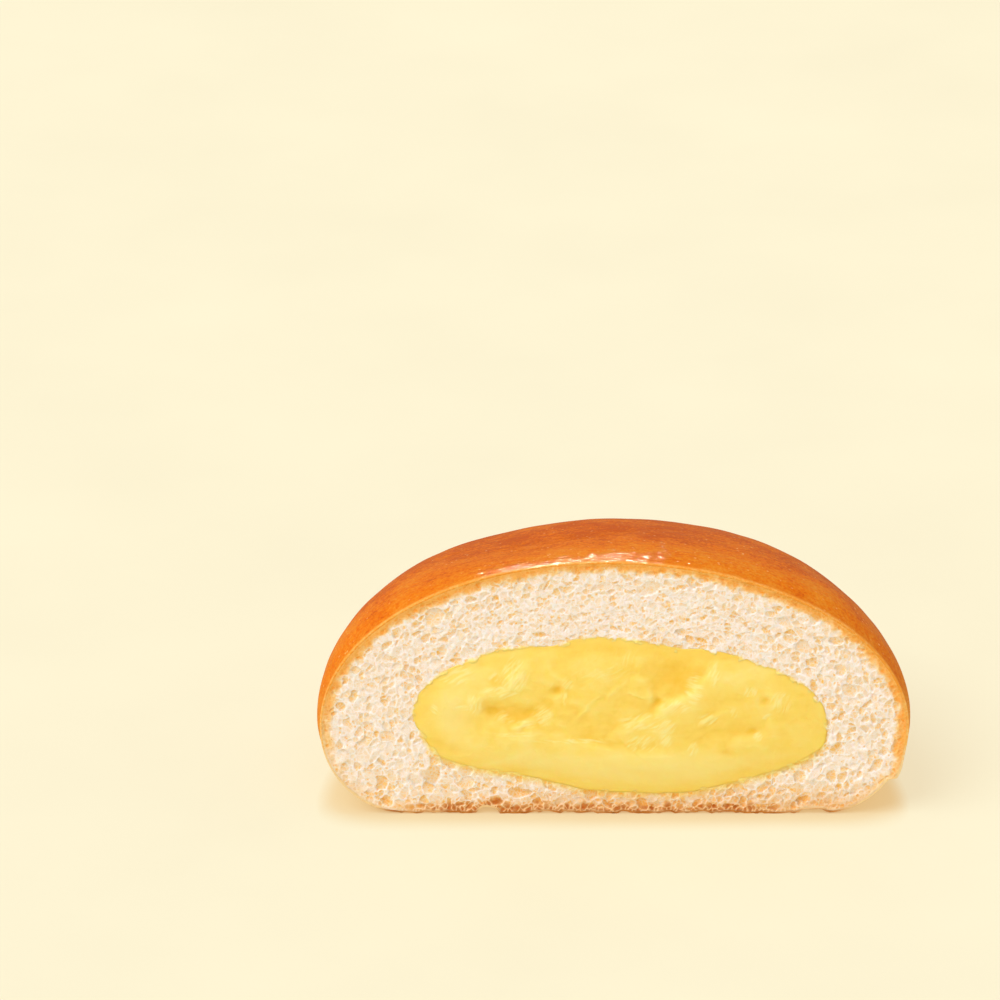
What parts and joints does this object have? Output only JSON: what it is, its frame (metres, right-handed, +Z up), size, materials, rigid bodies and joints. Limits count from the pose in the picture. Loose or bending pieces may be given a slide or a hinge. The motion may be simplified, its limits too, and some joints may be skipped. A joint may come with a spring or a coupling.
{
  "type": "custard-filled bun half",
  "caption": "Glossy sweet bun cut in half, standing on its base, with a thick core of custard showing in the airy white crumb of the cut face.",
  "frame": {"origin": "The middle of the bottom of the box round the whole part, on the surface it rests on.", "axes": "+X runs along the cut face, which is the longest side. +Y points from the cut face back to the snipped fingers, so the cut face looks along -Y. +Z is up."},
  "size_m": [0.101, 0.056, 0.048],
  "materials": {
    "bread": "egg-glazed golden brown crust, pale cream porous crumb at the cut face and browned base",
    "custard": "moist set custard with a soft sheen and torn folds"
  },
  "bodies": {
    "root": {"bread": "bread", "custard": "custard"}
  },
  "joints": []
}
